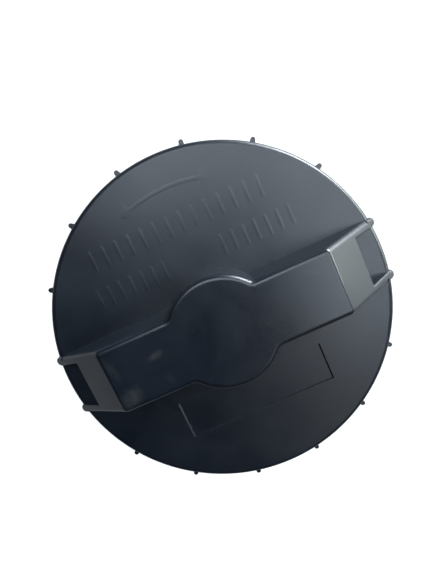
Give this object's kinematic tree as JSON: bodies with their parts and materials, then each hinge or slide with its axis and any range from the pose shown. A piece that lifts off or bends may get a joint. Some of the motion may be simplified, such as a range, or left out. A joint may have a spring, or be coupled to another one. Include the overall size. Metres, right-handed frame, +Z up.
{
  "type": "fuel cap",
  "caption": "Round screw-in fuel cap with a raised bow-tie grip and small rim ribs, a ratchet under the disc, a threaded plug and a pressure and vacuum valve inside.",
  "frame": {"origin": "centre of the flat foot at the bottom of the plug", "axes": "+Z up the cap's axis through the grip, +X along the grip's bar"},
  "size_m": [0.0838, 0.0838, 0.0607],
  "materials": {
    "shell_plastic": "satin, finely etched moulded plastic",
    "closure_plastic": "moulded plastic, satin",
    "natural_nylon": "unpigmented nylon or acetal, satin",
    "valve_plastic": "moulded acetal, satin",
    "black_rubber": "fuel-resistant rubber, matt",
    "spring_steel": "drawn spring steel, bright",
    "screen_brass": "punched brass sheet, satin"
  },
  "bodies": {
    "closure": {"closure_body": "closure_plastic", "neck_gasket": "black_rubber", "ratchet_pawl_ring": "natural_nylon", "bowed_washer": "spring_steel", "slip_washer": "natural_nylon", "valve_housing": "natural_nylon", "housing_seal": "black_rubber", "spring_cap": "natural_nylon", "cap_snap_ring": "spring_steel", "pressure_spring": "spring_steel", "splash_baffle": "natural_nylon", "filter_screen": "screen_brass", "foot_cover": "natural_nylon"},
    "shell": {"outer_shell": "shell_plastic", "keeper_ring": "natural_nylon"},
    "pressure_valve": {"pressure_valve_plate": "valve_plastic", "pressure_valve_seal": "black_rubber", "vacuum_spring": "spring_steel"},
    "vacuum_poppet": {"vacuum_valve": "valve_plastic", "vacuum_valve_seal": "black_rubber", "vacuum_spring_clip": "spring_steel"}
  },
  "joints": [
    {"name": "shell_turn", "type": "hinge", "parent": "closure", "child": "shell", "pos_m": [0, 0, 0.045], "axis": [0, 0, 1], "continuous": true},
    {"name": "pressure_lift", "type": "slide", "parent": "closure", "child": "pressure_valve", "axis": [0, 0, 1], "range_m": [0, 0.0016], "stiffness_N_per_m": 800, "springref_m": -0.005, "deforming": ["pressure_spring"]},
    {"name": "vacuum_drop", "type": "slide", "parent": "pressure_valve", "child": "vacuum_poppet", "axis": [0, 0, -1], "range_m": [0, 0.0012], "stiffness_N_per_m": 60, "springref_m": -0.0035, "deforming": ["vacuum_spring"]}
  ]
}
